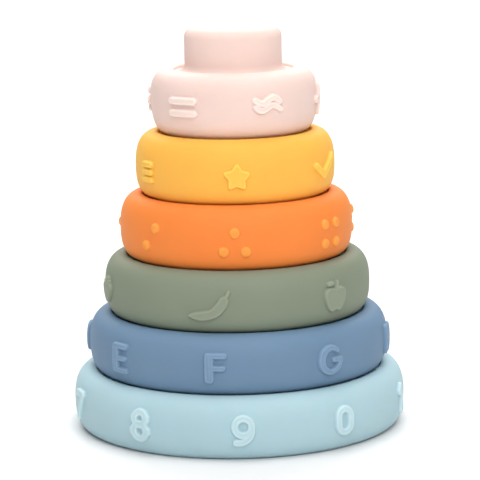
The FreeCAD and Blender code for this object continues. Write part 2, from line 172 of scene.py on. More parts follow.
def smoothed(before: Array, start: Array, end: Array, after: Array) -> Array:
    """Points of a smooth curve from start up to end, given its neighbours."""
    t = np.linspace(0, 1, 10, endpoint=False)[:, None]
    bow = 2 * before - 5 * start + 4 * end - after
    twist = 3 * (start - end) + after - before
    return start + 0.5 * t * (end - before + t * (bow + t * twist))


@dataclass(frozen=True)
class Blob(Stroke):
    """A closed outline through points, smooth or straight-sided, grown outwards by ease."""

    points: tuple[tuple[float, float], ...]
    smooth: bool = True
    ease: float = 0.0

    def outline(self) -> Array:
        """Points along the outline, one row each."""
        knots = np.array(self.points, float)
        if not self.smooth:
            return knots
        around = [np.roll(knots, shift, axis=0) for shift in (1, 0, -1, -2)]
        return np.vstack([smoothed(*spots) for spots in zip(*around)])

    def depth(self, x: Array, y: Array) -> Array:
        """Depth inside the outline, as in Stroke."""
        start = self.outline()
        end = np.roll(start, -1, axis=0)
        gap = to_lines(x, y, start, end)
        inside = np.zeros(x.shape, bool)
        for (ax, ay), (bx, by) in zip(start, end):
            if ay != by:
                inside ^= ((ay > y) != (by > y)) & (x < ax + (y - ay) * (bx - ax) / (by - ay))
        return np.where(inside, gap, -gap) + self.ease


@dataclass(frozen=True)
class Ribbon(Stroke):
    """A smooth stroke through points, with round ends."""

    points: tuple[tuple[float, float], ...]
    width: float

    def depth(self, x: Array, y: Array) -> Array:
        """Depth inside the stroke, as in Stroke."""
        knots = np.array(self.points, float)
        padded = np.vstack([2 * knots[0] - knots[1], knots, 2 * knots[-1] - knots[-2]])
        runs = [smoothed(*spots) for spots in zip(padded, padded[1:], padded[2:], padded[3:])]
        line = np.vstack(runs + [knots[-1:]])
        return self.width / 2 - to_lines(x, y, line[:-1], line[1:])


def path(width: float, *points: tuple[float, float]) -> list[Stroke]:
    """Straight strokes from point to point."""
    return [Bar(*a, *b, width) for a, b in zip(points, points[1:])]


class Swell(Enum):
    """How a symbol stands out of the wall."""

    PLATEAU = "flat face with a soft rim"
    DOME = "round dome"


@dataclass(frozen=True)
class Symbol:
    """One raised symbol, at an angle round the ring from the front."""

    name: str
    angle: float
    strokes: tuple[Stroke, ...]
    swell: Swell = Swell.PLATEAU

    def depth(self, x: Array, y: Array) -> Array:
        """Depth inside the nearest stroke, as in Stroke."""
        return np.maximum.reduce([stroke.depth(x, y) for stroke in self.strokes])

    def half_width(self) -> float:
        """How far the symbol reaches to either side of its middle."""
        x, y = np.meshgrid(np.linspace(-12, 12, 97), np.linspace(-9, 9, 73))
        return float(np.abs(x[self.depth(x, y) > -0.3]).max())


# ---- The six sets of symbols -------------------------------------------------------------
class SymbolBook:
    """Draws every symbol of the toy, in plain rounded strokes."""

    digit_width: float = 2.5
    letter_width: float = 2.0
    stem_width: float = 3.3
    sign_width: float = 2.7
    wave_width: float = 2.3
    shape_width: float = 2.4
    stalk_width: float = 1.2
    dot_radius: float = 1.85
    star_round: float = 0.8

    def digit(self, number: int) -> list[Stroke]:
        """Strokes of one digit."""
        w = self.digit_width
        top = 5.65 - w / 2
        side = 2.75
        return [
            [
                Bend(0, 1.4, side, 0, 180, w),
                Bend(0, -1.4, side, 180, 180, w),
                Bar(-side, 1.4, -side, -1.4, w),
                Bar(side, 1.4, side, -1.4, w),
            ],
            path(w, (-1.9, 2.7), (0.7, top), (0.7, -top)),
            [Bend(0, 1.8, 2.7, 165, -195, w), *path(w, (2.34, 0.45), (-2.8, -top), (2.9, -top))],
            [Bend(-0.2, 2.2, 2.3, 145, -235, w), Bend(-0.2, -2.1, 2.45, 90, -235, w)],
            path(w, (3.2, -1.9), (-3.1, -1.9), (1.3, top), (1.3, -top)),
            [*path(w, (2.5, top), (-1.9, top), (-2.3, 0.5)), Bend(-0.2, -1.6, 2.95, 132, -270, w)],
            [
                Hoop(0, -1.35, 3.0, w),
                Bar(-3.0, -1.35, -3.0, 0.05, w),
                Bend(1.25, 0.05, 4.25, 180, -90, w),
                Bar(1.25, 4.3, 2.45, 4.3, w),
            ],
            path(w, (-3.0, top), (3.0, top), (-1.2, -top)),
            [
                Hoop(0, 2.35, 2.35, w),
                *(Bar(x, 1.9, x, 2.8, w) for x in (-2.65, 2.65)),
                Hoop(0, -2.1, 2.65, w + 0.1),
                *(Bar(x, -2.6, x, -1.6, w + 0.1) for x in (-3.0, 3.0)),
            ],
            [
                Hoop(0, 1.35, 3.0, w),
                Bar(3.0, 1.35, 3.0, -0.05, w),
                Bend(-1.25, -0.05, 4.25, 0, -90, w),
                Bar(-1.25, -4.3, -2.45, -4.3, w),
            ],
        ][number]

    def stem(self, x: float, bottom: float, top: float) -> list[Stroke]:
        """A thick upright stroke about x with rounded corners."""
        side = (self.stem_width - self.letter_width) / 2
        left, right = x - side, x + side
        corners = ((left, bottom), (right, bottom), (right, top), (left, top), (left, bottom))
        return path(self.letter_width, *corners)

    def letter(self, name: str) -> list[Stroke]:
        """Strokes of one capital, with thick uprights."""
        w = self.letter_width
        top = 5.35 - w / 2
        left = -2.4
        upright = self.stem(left, -top, top)
        return {
            "A": [*path(w + 0.5, (-3.5, -top), (0, top), (3.5, -top)), Bar(-2.2, -1.6, 2.2, -1.6, w)],
            "B": [
                *upright,
                Bar(left, top, 0.3, top, w),
                Bar(left, 0.2, 0.3, 0.2, w),
                Bar(left, -top, 0.5, -top, w),
                Bend(0.3, 2.275, 2.075, 90, -180, w),
                Bend(0.5, -2.075, 2.275, 90, -180, w),
            ],
            "C": [Bend(0.2, 0, top, 48, 264, w), Bend(0.9, 0, top, 110, 140, w)],
            "D": [
                *upright,
                Bar(left, top, -0.6, top, w),
                Bar(left, -top, -0.6, -top, w),
                Bend(-0.6, 0, top, 90, -180, w),
            ],
            "E": [
                *upright,
                Bar(left, top, 3.1, top, w),
                Bar(left, 0, 2.6, 0, w),
                Bar(left, -top, 3.1, -top, w),
            ],
            "F": [*upright, Bar(left, top, 3.1, top, w), Bar(left, 0, 2.7, 0, w)],
            "G": [Bend(0.1, 0, top, 50, 310, w), Bend(0.9, 0, top, 110, 140, w), Bar(1.6, 0, 4.5, 0, w)],
            "H": [*upright, *self.stem(-left, -top, top), Bar(left, 0, -left, 0, w)],
        }[name]

    def mirrored(self, *points: tuple[float, float]) -> Blob:
        """A smooth outline through points down the right and their mirror images up the left."""
        return Blob((*points, *((-x, y) for x, y in points[::-1] if x)))

    def fruit(self, name: str) -> list[Stroke]:
        """Outline and stalk of one fruit."""
        w = self.stalk_width
        leaves = [
            Bar(0, 2.4, 2.6 * math.sin(math.radians(a)), 2.4 + 1.9 * math.cos(math.radians(a)), w + 0.2)
            for a in (-70, 0, 35, 75)
        ]
        banana = (
            (-7.7, -3.6), (-5.4, -2.6), (-2.1, -2.1), (0.6, -1.4), (2.7, 0.8), (4.4, 2.9), (6.4, 3.2),
            (7.0, 1.0), (5.2, -2.1), (2.3, -4.3), (-2.2, -5.4), (-5.3, -5.0), (-7.2, -4.2),
        )
        apple = ((0, 2.6), (2.6, 3.3), (4.9, 2.0), (5.2, -0.6), (4.1, -3.4), (2.2, -5.4), (0, -4.9))
        strawberry = ((0, 2.1), (2.7, 2.7), (4.7, 1.2), (4.0, -1.4), (1.9, -3.9), (0, -4.8))
        lemon = ((0, 4.2), (2.6, 3.5), (4.4, 1.4), (6.2, 0), (4.4, -1.4), (2.6, -3.5), (0, -4.2))
        stalks = path(w, (-2.6, -1.0), (-0.9, 2.3), (1.4, 4.9), (2.3, 2.2), (2.8, -0.6))
        return {
            "pear": [
                self.mirrored((0, 2.7), (1.7, 1.2), (3.6, -1.6), (3.2, -4.4), (0, -5.6)),
                Bar(0.1, 2.4, 0.8, 5.0, w),
            ],
            "banana": [Blob(banana), Bar(6.1, 2.8, 7.1, 4.8, w)],
            "apple": [
                self.mirrored(*apple),
                Bar(0.6, 2.6, 1.3, 5.0, w),
                Bar(-1.4, 4.7, -3.1, 4.5, w + 0.3),
            ],
            "strawberry": [self.mirrored(*strawberry), *leaves],
            "cherries": [Disc(-3.0, -3.0, 2.6), Disc(3.0, -2.4, 2.6), *stalks],
            "lemon": [self.mirrored(*lemon)],
        }[name]

    def star(self) -> Stroke:
        """A star of five round tips."""
        tips = 5
        radii = (4.1, 2.35)
        corners = tuple(
            (radii[k % 2] * math.sin(math.pi * k / tips), radii[k % 2] * math.cos(math.pi * k / tips) - 0.1)
            for k in range(2 * tips)
        )
        return Blob(corners, smooth=False, ease=self.star_round)

    def figure(self, name: str) -> list[Stroke]:
        """Strokes of one simple figure."""
        w = self.shape_width
        heart = ((0, 2.6), (1.8, 4.2), (4.2, 3.8), (5.0, 1.4), (3.4, -1.9), (0, -4.9))
        return {
            "bars": [Bar(-2.2, y, 2.2, y, w - 0.2) for y in (2.8, 0, -2.8)],
            "star": [self.star()],
            "tick": path(w + 0.2, (-5.2, 1.4), (-0.5, -2.2), (6.9, 3.8)),
            "heart": [self.mirrored(*heart)],
            "circle": [Hoop(0, 0, 3.5, w)],
            "triangle": path(w, (-4.0, -3.3), (0, 3.6), (4.0, -3.3), (-4.0, -3.3)),
        }[name]

    def sign(self, name: str) -> list[Stroke]:
        """Strokes of one sign of arithmetic."""
        w, reach, gap, slant = self.sign_width, 4.7, 2.2, 3.4
        level = Bar(-reach, 0, reach, 0, w)
        spot = w / 2
        upper = (
            (-4.5, 2.4), (-3.2, 1.6), (-1.5, 1.3), (0.2, 2.4), (1.9, 3.4), (3.4, 3.0), (4.7, 2.0),
        )
        lower = (
            (-4.3, -0.1), (-3.2, -1.0), (-1.7, -1.2), (-0.1, -0.3), (1.6, 0.6), (3.4, 0.2), (5.0, -0.9),
        )
        return {
            "divide": [level, Disc(0, w + 0.5, spot), Disc(0, -w - 0.5, spot)],
            "equals": [Bar(-reach, gap, reach, gap, w), Bar(-reach, -gap, reach, -gap, w)],
            "waves": [Ribbon(upper, self.wave_width), Ribbon(lower, self.wave_width)],
            "plus": [level, Bar(0, -reach, 0, reach, w)],
            "minus": [level],
            "times": [Bar(-slant, -slant, slant, slant, w), Bar(-slant, slant, slant, -slant, w)],
        }[name]

    def dots(self, count: int) -> list[Stroke]:
        """One group of dots, laid out as on a die."""
        square = [(x, y) for x in (-3.3, 3.3) for y in (-3.7, 3.3)]
        around = 4.4
        turns = [math.radians(degrees) for degrees in range(0, 360, 60)]
        ring = [(around * math.cos(turn), around * math.sin(turn)) for turn in turns]
        places = {
            1: [(0, 0)],
            2: [(-2.45, -3.1), (2.35, 3.5)],
            3: [(0, 3.2), (-4.0, -3.6), (4.0, -3.6)],
            4: square,
            5: square + [(0, -0.2)],
            6: [(x, y) for x in (-4.2, 0, 4.2) for y in (-3.0, 3.0)],
            7: ring + [(0, 0)],
        }[count]
        return [Disc(x, y, self.dot_radius) for x, y in places]

    def page(self, node: str) -> tuple[float, list[Symbol]]:
        """Every symbol of one ring.

        Args:
            node: Name of the ring.

        Returns:
            The height of the symbols' middle above the rim, and the ring's symbols, each with its
            angle round the tower.
        """
        if node == "number_ring":
            return 11.5, [Symbol(str(k), 36 * (k - 9) + 1, tuple(self.digit(k))) for k in range(10)]
        if node == "letter_ring":
            angles = (124, 170, 218, 267, 310, 351.5, 35.8, 80)
            placed = zip("ABCDEFGH", angles)
            return 11.1, [Symbol(name, angle, tuple(self.letter(name))) for name, angle in placed]
        if node == "fruit_ring":
            names = ("strawberry", "banana", "apple", "pear", "cherries", "lemon")
            angles = (-73.5, -11.9, 45, 106, 168, 230)
            placed = zip(names, angles)
            return 11.2, [Symbol(name, angle, tuple(self.fruit(name))) for name, angle in placed]
        if node == "dot_ring":
            angles = (-98, -45.6, -0.9, 52.1, 101, 153, 206)
            placed = enumerate(angles, start=1)
            return 11.5, [
                Symbol(f"dots_{count}", angle, tuple(self.dots(count)), Swell.DOME) for count, angle in placed
            ]
        if node == "shape_ring":
            names = ("bars", "star", "tick", "heart", "circle", "triangle")
            angles = (-58.4, 0.9, 60, 118.7, 180, 241)
            placed = zip(names, angles)
            return 11.1, [Symbol(name, angle, tuple(self.figure(name))) for name, angle in placed]
        names = ("divide", "equals", "waves", "plus", "minus", "times")
        angles = (-97, -36.9, 22.8, 83, 143, 203)
        placed = zip(names, angles)
        return 12.3, [Symbol(name, angle, tuple(self.sign(name))) for name, angle in placed]


# ---- Shader maths ------------------------------------------------------------------------
class Value:
    """A number that comes out of a node. Arithmetic on it adds Math nodes."""

    def __init__(self, tree: "Shader", socket: bpy.types.NodeSocket) -> None:
        """Wrap a socket of a shader's tree."""
        self.tree = tree
        self.socket = socket

    def _math(self, operation: str, left: "Value | float", right: "Value | float") -> "Value":
        """A Math node of this operation."""
        return self.tree.node("ShaderNodeMath", {"operation": operation}, {0: left, 1: right})

    def __add__(self, other: "Value | float") -> "Value":
        """Sum."""
        return self._math("ADD", self, other)

    __radd__ = __add__

    def __sub__(self, other: "Value | float") -> "Value":
        """Difference."""
        return self._math("SUBTRACT", self, other)

    def __rsub__(self, other: float) -> "Value":
        """Difference from a number."""
        return self._math("SUBTRACT", other, self)

    def __mul__(self, other: "Value | float") -> "Value":
        """Product."""
        return self._math("MULTIPLY", self, other)

    __rmul__ = __mul__


class Shader:
    """A material under construction."""

    def __init__(self, name: str) -> None:
        """Start an empty material of this name."""
        self.material = bpy.data.materials.new(name)
        self.material.use_nodes = True
        self.nodes = self.material.node_tree.nodes
        self.nodes.clear()
        self.row = 0

    def node(
        self,
        kind: str,
        settings: dict | None = None,
        sockets: dict | None = None,
        out: int | str = 0,
    ) -> Value:
        """Add a node.

        Args:
            kind: Blender's name of the node's type.
            settings: Properties to set before the sockets, such as operation.
            sockets: Values or links of its inputs, by name or index.
            out: Which output to hand on.

        Returns:
            The output, wrapped for arithmetic.
        """
        made = self.nodes.new(kind)
        self.row += 1
        made.location = (200 * self.row, 0)
        for key, value in (settings or {}).items():
            setattr(made, key, value)
        for key, value in (sockets or {}).items():
            if isinstance(value, Value):
                self.material.node_tree.links.new(value.socket, made.inputs[key])
            else:
                made.inputs[key].default_value = value
        return Value(self, made.outputs[out])

    def finish(self, surface: Value) -> bpy.types.Material:
        """Lead the surface to the material's output and return the material."""
        output = self.nodes.new("ShaderNodeOutputMaterial")
        self.material.node_tree.links.new(surface.socket, output.inputs["Surface"])
        return self.material

    def mix(self, share: "Value | float", first: "Value | tuple", second: "Value | tuple") -> Value:
        """A colour between two colours."""
        mixed = {"Factor": share, 6: first, 7: second}
        return self.node("ShaderNodeMix", {"data_type": "RGBA"}, mixed, out=2)


def linear(red: int, green: int, blue: int) -> tuple[float, float, float, float]:
    """Turn a screen colour, 0 to 255, into a linear one."""
    def channel(level: int) -> float:
        """One channel."""
        share = level / 255
        return share / 12.92 if share <= 0.04045 else ((share + 0.055) / 1.055) ** 2.4

    return (channel(red), channel(green), channel(blue), 1.0)


@dataclass(frozen=True)
class Silicone:
    """Matt moulded silicone in one colour, with a painted highlight that tints its symbols lighter."""

    slot: str
    body: tuple[int, int, int]
    # Colour of the painted highlight on the symbols: a lighter tint standing in for the light their faces and
    # edges catch.
    painted_highlight: tuple[int, int, int]
    glow: float = 0.12
    roughness: float = 0.58
    grain: float = 0.06

    def material(self) -> bpy.types.Material:
        """Make the material.

        Returns:
            A Principled material whose colour, roughness and grain vary over the surface, with a painted
            highlight that tints the symbols lighter where they would catch the light.
        """
        shader = Shader(f"silicone_{self.slot}")
        place = shader.node("ShaderNodeTexCoord", out="Object")
        patches = {"Vector": place, "Scale": 38.0, "Detail": 3.0, "Roughness": 0.5}
        cloud = shader.node("ShaderNodeTexNoise", {}, patches)
        speck = shader.node("ShaderNodeTexNoise", {}, {"Vector": place, "Scale": 900.0, "Detail": 2.0})
        fine = shader.node("ShaderNodeTexNoise", {}, {"Vector": place, "Scale": 2600.0, "Detail": 3.0})
        # Painted highlight: the share from the point layer mixes the symbols towards the lighter colour,
        # standing in for light caught by their faces and rims.
        relief = shader.node("ShaderNodeAttribute", {"attribute_name": PAINTED_HIGHLIGHT_LAYER}, out="Fac")
        body = linear(*self.body)
        deep = tuple(c * 0.94 for c in body[:3]) + (1.0,)
        pale = tuple(min(1.0, c * 1.05 + 0.004) for c in body[:3]) + (1.0,)
        clouded = shader.mix(cloud, deep, pale)
        painted_highlight = shader.mix(relief, clouded, linear(*self.painted_highlight))
        speckled = shader.mix(speck * 0.10, painted_highlight, pale)
        roughness = cloud * 0.10 + speck * 0.08 + (self.roughness - 0.09)
        height = speck * 0.45 + fine * 0.55
        uneven = {"Strength": self.grain, "Distance": 0.0004, "Height": height}
        bump = shader.node("ShaderNodeBump", {}, uneven, out="Normal")
        surface = shader.node(
            "ShaderNodeBsdfPrincipled",
            {"subsurface_method": "RANDOM_WALK"},
            {
                "Base Color": speckled,
                "Roughness": roughness,
                "Normal": bump,
                "IOR": 1.41,
                "Specular IOR Level": 0.22,
                "Subsurface Weight": self.glow,
                "Subsurface Radius": (1.0, 0.55, 0.35),
                "Subsurface Scale": 0.004,
            },
        )
        return shader.finish(surface)


# ---- Meshes ------------------------------------------------------------------------------
@dataclass
class Section:
    """The outline of a ring's cross-section, as points of radius and height."""

    points: list[tuple[float, float]] = field(default_factory=list)

    def quarter(
        self,
        inner: float,
        outer: float,
        widest: float,
        end: float,
        fullness: float,
        spots: Array,
    ) -> None:
        """Add a bulging quarter of the wall.

        Args:
            inner: Radius at the end.
            outer: Radius at the widest place.
            widest: Height of the widest place.
            end: Height at the end.
            fullness: How square the bulge is; 2 is an ellipse.
            spots: Turns from the end, 0, to the widest place, a quarter turn.
        """
        for turn in spots:
            across = max(math.sin(turn), 0) ** (2 / fullness)
            along = max(math.cos(turn), 0) ** (2 / fullness)
            self.points.append((inner + (outer - inner) * across, widest + (end - widest) * along))

    def corners(self, corners: list[tuple[float, float, float]], step: float) -> None:
        """Add a run of straight lines with rounded corners.

        Args:
            corners: Radius, height and round of each corner. The first and last aren't rounded.
            step: Longest gap between points on a straight line.
        """
        spots = [np.array(c[:2], float) for c in corners]
        run = [spots[0]]
        for before, here, after, spec in zip(spots, spots[1:], spots[2:], corners[1:]):
            back, on = before - here, after - here
            back_length, on_length = np.linalg.norm(back), np.linalg.norm(on)
            back, on = back / back_length, on / on_length
            trim = min(spec[2], back_length * 0.45, on_length * 0.45)
            for share in np.linspace(0, 1, 6):
                run.append(here + back * trim * (1 - share) ** 2 + on * trim * share**2)
        run.append(spots[-1])
        for a, b in zip(run, run[1:]):
            pieces = max(1, math.ceil(float(np.linalg.norm(b - a)) / step))
            for k in range(pieces):
                spot = a + (b - a) * k / pieces
                self.points.append((float(spot[0]), float(spot[1])))
        self.points.append((float(run[-1][0]), float(run[-1][1])))


@dataclass
class Ring:
    """One ring of the tower."""

    node: str
    radius: float
    silicone: Silicone
    symbols: list[Symbol]
    rim: float
    height: float
    boss_radius: float
    socket_radius: float
    foot_above: float
    symbol_height: float
    top: bool = False
    relief: float = 1.28
    fine: float = 0.24
    coarse: float = 1.25
    wall: float = 3.2
    web: float = 3.0
    skirt_wall: float = 2.6
    knob_foot_round: float = 3.0
    knob_groove: float = 0.4
    crest_rise: float = 0.8
    lip_round: float = 1.0
    shoulder_round: float = 7.8
    shoulder_fullness: float = 2.5
    rib_height: float = 0.8
    rib_width: float = 1.4
    rib_count: int = 30
    boss_edge: float = 3.8
    ring_widest: float = 11.1
    top_widest: float = 14.7
    rim_inset: float = 6.3
    top_rim_inset: float = 7.6
    least_channel: float = 4.0
    long_step: float = 4.0
    boss_step: float = 3.0
    symbol_half_height: float = 6.2
    symbol_fade: float = 3.0
    wall_step: float = 0.7

    @property
    def widest(self) -> float:
        """Height of the widest place above the rim."""
        return self.top_widest if self.top else self.ring_widest

    @property
    def foot(self) -> float:
        """Outer radius of the rim."""
        return self.radius - (self.top_rim_inset if self.top else self.rim_inset)

    @property
    def foot_fullness(self) -> float:
        """How square the bulge is below its widest place."""
        return 2.9 if self.top else 2.6

    @property
    def crest(self) -> float:
        """Radius of the highest line of the lip."""
        return self.radius - self.shoulder_round

    @property
    def floor(self) -> float:
        """Height of the seat's floor above the rim."""
        return self.height - (self.knob_groove if self.top else self.rib_height)

    @property
    def boss_top(self) -> float:
        """Height of the boss's top above the rim, from the CAD solid."""
        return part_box(self.node)[1].z / MM - self.rim

    def columns(self) -> Array:
        """Angles of the mesh's columns, close together where the symbols are.

        Returns:
            Angles in radians from the front, a multiple of three of them.
        """
        turn = np.linspace(0, 2 * math.pi, 7200, endpoint=False)
        spacing = np.full(turn.shape, self.coarse)
        for symbol in self.symbols:
            away = (turn - math.radians(symbol.angle) + math.pi) % (2 * math.pi) - math.pi
            gap = np.abs(away) * self.radius - symbol.half_width() - 0.5
            near = np.clip(gap / self.symbol_fade, 0, 1)
            spacing = np.minimum(spacing, self.fine + (self.coarse - self.fine) * near)
        travelled = np.concatenate([[0], np.cumsum(self.radius * (turn[1] - turn[0]) / spacing)])
        count = 3 * math.ceil(travelled[-1] / 3)
        turns = np.append(turn, 2 * math.pi)
        return np.interp(np.arange(count) / count * travelled[-1], travelled, turns)

    def outside(self) -> Array:
        """Points of the bulging wall from rim to crest, close together where the symbols are."""
        spots = np.linspace(0, math.pi / 2, 400)
        section = Section()
        section.quarter(self.foot, self.radius, self.widest, 0.0, self.foot_fullness, spots)
        crest_height = self.height + self.crest_rise
        upwards = spots[::-1][1:]
        section.quarter(
            self.crest, self.radius, self.widest, crest_height, self.shoulder_fullness, upwards
        )
        dense = np.array(section.points)
        steps = np.linalg.norm(np.diff(dense, axis=0), axis=1)
        middle = (dense[1:, 1] + dense[:-1, 1]) / 2
        gap = np.abs(middle - self.symbol_height) - self.symbol_half_height
        near = np.clip(gap / self.symbol_fade, 0, 1)
        spacing = self.fine + (self.wall_step - self.fine) * near
        travelled = np.concatenate([[0], np.cumsum(steps / spacing)])
        places = np.linspace(0, travelled[-1], math.ceil(travelled[-1]))
        return np.stack([np.interp(places, travelled, dense[:, k]) for k in (0, 1)], axis=1)

    def inside(self) -> Array:
        """Points from the lip over the seat and the boss to the axis, then under it to the rim."""
        crest_height = self.height + self.crest_rise
        lip = self.crest - self.lip_round
        boss, top, floor = self.boss_radius, self.boss_top, self.floor
        ceiling = floor - self.web
        hollow, hollow_top = boss - self.wall, top - self.wall
        skirt, cavity = self.socket_radius + self.skirt_wall, self.foot - self.wall
        section = Section()
        lip_turns = np.linspace(0, math.pi / 2, 6)
        section.points = [
            (self.crest - self.lip_round * math.sin(t), crest_height - self.lip_round * (1 - math.cos(t)))
            for t in lip_turns[1:-1]
        ]
        seat = [
            (lip, crest_height - self.lip_round, 0),
            (lip, floor, 0.2 if self.top else 0.5),
            (boss, floor, 0 if self.top else 0.9),
            (boss, top - self.boss_edge, 0),
        ]
        if self.top:
            section.corners(seat[:2] + [(boss + self.knob_foot_round, floor, 0)], self.long_step)
            foot_turns = np.linspace(0, math.pi / 2, 12)[1:]
            foot = self.knob_foot_round
            section.points += [
                (boss + foot * (1 - math.sin(t)), floor + foot * (1 - math.cos(t))) for t in foot_turns
            ]
            section.corners([section.points.pop() + (0,), seat[3]], self.long_step)
        else:
            section.corners(seat, self.long_step)
        edge_turns = np.linspace(0, math.pi / 2, 14)[1:-1]
        section.points += [
            (boss - self.boss_edge * (1 - math.cos(t)), top - self.boss_edge * (1 - math.sin(t)))
            for t in edge_turns
        ]
        under = [(boss - self.boss_edge, top, 0), (0.0, top, 0)]
        section.corners(under, self.boss_step)
        below = [
            (0.0, hollow_top, 0),
            (hollow, hollow_top, 2.0),
            (hollow, ceiling, 0.6),
            (self.socket_radius, ceiling, 0.8),
            (self.socket_radius, 0.0, 0.5),
        ]
        if cavity - skirt >= self.least_channel:
            below += [(skirt, 0.0, 0.5), (skirt, ceiling, 1.5), (cavity, ceiling, 1.5), (cavity, 0.0, 0.5)]
        below += [(self.foot, 0.0, 0)]
        section.corners(below, self.long_step)
        return np.array(section.points[:-1])

    def swelling(self, turns: Array, wall: Array) -> tuple[Array, Array]:
        """How far the symbols lift each point of the wall, and how much painted highlight it gets.

        Args:
            turns: Angles of the columns.
            wall: Radius and height of the rows.

        Returns:
            Lift in millimetres, and a share from 0 on the wall to 1 on a symbol.
        """
        lift = np.zeros((len(wall), len(turns)))
        painted_highlight = np.zeros_like(lift)
        radii = wall[:, :1]
        heights = wall[:, 1:] - self.symbol_height
        for symbol in self.symbols:
            away = (turns - math.radians(symbol.angle) + math.pi) % (2 * math.pi) - math.pi
            near = np.flatnonzero(np.abs(away) * self.radius < symbol.half_width() + 2)
            rows = np.flatnonzero(np.abs(heights[:, 0]) < 8)
            x = radii[rows] * np.sin(away[near])[None, :]
            y = np.broadcast_to(heights[rows], x.shape)
            depth = symbol.depth(x, y)
            patch = np.ix_(rows, near)
            lift[patch] = np.maximum(lift[patch], self.swell(depth, symbol))
            # Painted highlight: the share covers each symbol and peaks just inside its outline, standing in
            # for light caught by the rounded rims.
            rim = np.exp(-(((depth - 0.3) / 0.4) ** 2))
            covered = np.clip((depth + 0.2) / 0.3, 0, 1)
            painted_highlight[patch] = np.maximum(painted_highlight[patch], covered * (0.6 + 0.4 * rim))
        return lift, painted_highlight

    def swell(self, depth: Array, symbol: Symbol) -> Array:
        """Turn depth inside a symbol into height above the wall."""
        if symbol.swell is Swell.DOME:
            reach = max(stroke.radius for stroke in symbol.strokes)
            share = np.clip((depth + 0.25) / (reach + 0.25), 0, 1)
            foot = np.clip((depth + 0.25) / 0.5, 0, 1)
            dome = np.sqrt(np.clip(1 - (1 - share) ** 2.4, 0, 1))
            return self.relief * dome * foot * foot * (3 - 2 * foot)
        share = np.clip((depth + 0.3) / 0.5, 0, 1)
        plateau = share * share * share * (share * (6 * share - 15) + 10)
        rim = np.exp(-(((depth - 0.5) / 0.35) ** 2))
        dish = 0.86 + 0.14 * rim
        return self.relief * plateau * dish

    def build(self) -> bpy.types.Object:
        """Make the ring's mesh.

        Returns:
            The ring, in its place in the tower, in metres.
        """
        turns = self.columns()
        wall = self.outside()
        # The second result is the painted highlight share that tints the symbols lighter.
        lift, painted_highlight = self.swelling(turns, wall)
        slope = np.gradient(wall, axis=0)
        slope /= np.linalg.norm(slope, axis=1)[:, None]
        radii = wall[:, :1] + lift * slope[:, 1:]
        heights = wall[:, 1:] - lift * slope[:, :1]
        mesh = GridMesh()
        outer = mesh.rows(turns, radii, heights, painted_highlight)
        inner_turns = turns[::3]
        inside = self.inside()
        axis = [k for k, (r, _) in enumerate(inside) if r < 1e-6]
        upper, lower = inside[: axis[0]], inside[axis[-1] + 1:]
        flat = np.ones(len(inner_turns))
        zero = np.zeros((1, len(inner_turns)))
        above = mesh.rows(inner_turns, upper[:, :1] * flat, upper[:, 1:] * flat, zero)
        below = mesh.rows(inner_turns, lower[:, :1] * flat, lower[:, 1:] * flat, zero)
        mesh.sew(outer[-1], above[0], forwards=True)
        mesh.sew(outer[0], below[-1], forwards=False)
        mesh.cap(above[-1], inside[axis[0]][1], upwards=True)
        mesh.cap(below[0], inside[axis[-1]][1], upwards=False)
        if not self.top:
            self.add_ribs(mesh)
        piece = mesh.piece(f"{self.node}_skin", self.rim)
        piece.data.materials.append(self.silicone.material())
        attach(piece, self.node)
        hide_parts(self.node)
        LOG.info("%s: %d symbols, %d faces", self.node, len(self.symbols), len(piece.data.polygons))
        return piece

    def add_ribs(self, mesh: "GridMesh") -> None:
        """Add the small rounded ribs that carry the rim of the ring above."""
        inner = max(self.foot_above - 2.0, self.boss_radius + self.rib_width)
        outer = self.crest - self.lip_round - 0.5
        half = self.rib_width / 2
        around = np.linspace(0, 2 * math.pi, 20, endpoint=False) + math.pi / 20
        levels = [(0.0, -0.4), (0.0, 0.35), (0.08, 0.55), (0.22, 0.68), (0.42, 0.745)]
        for k in range(self.rib_count):
            turn = 2 * math.pi * k / self.rib_count + math.pi / 2
            loops = []
            for tuck, lift in levels:
                shift = np.where(np.cos(around) > 0, outer - half, inner + half)
                along = shift + (half - tuck) * np.cos(around)
                across = (half - tuck) * np.sin(around)
                x = along * math.sin(turn) + across * math.cos(turn)
                y = -along * math.cos(turn) + across * math.sin(turn)
                loops.append(mesh.loop(x, y, np.full(x.shape, self.floor + lift)))
            for low, high in zip(loops, loops[1:]):
                mesh.band(low, high)
            mesh.faces.append(list(loops[-1]))
            mesh.faces.append(list(loops[0][::-1]))


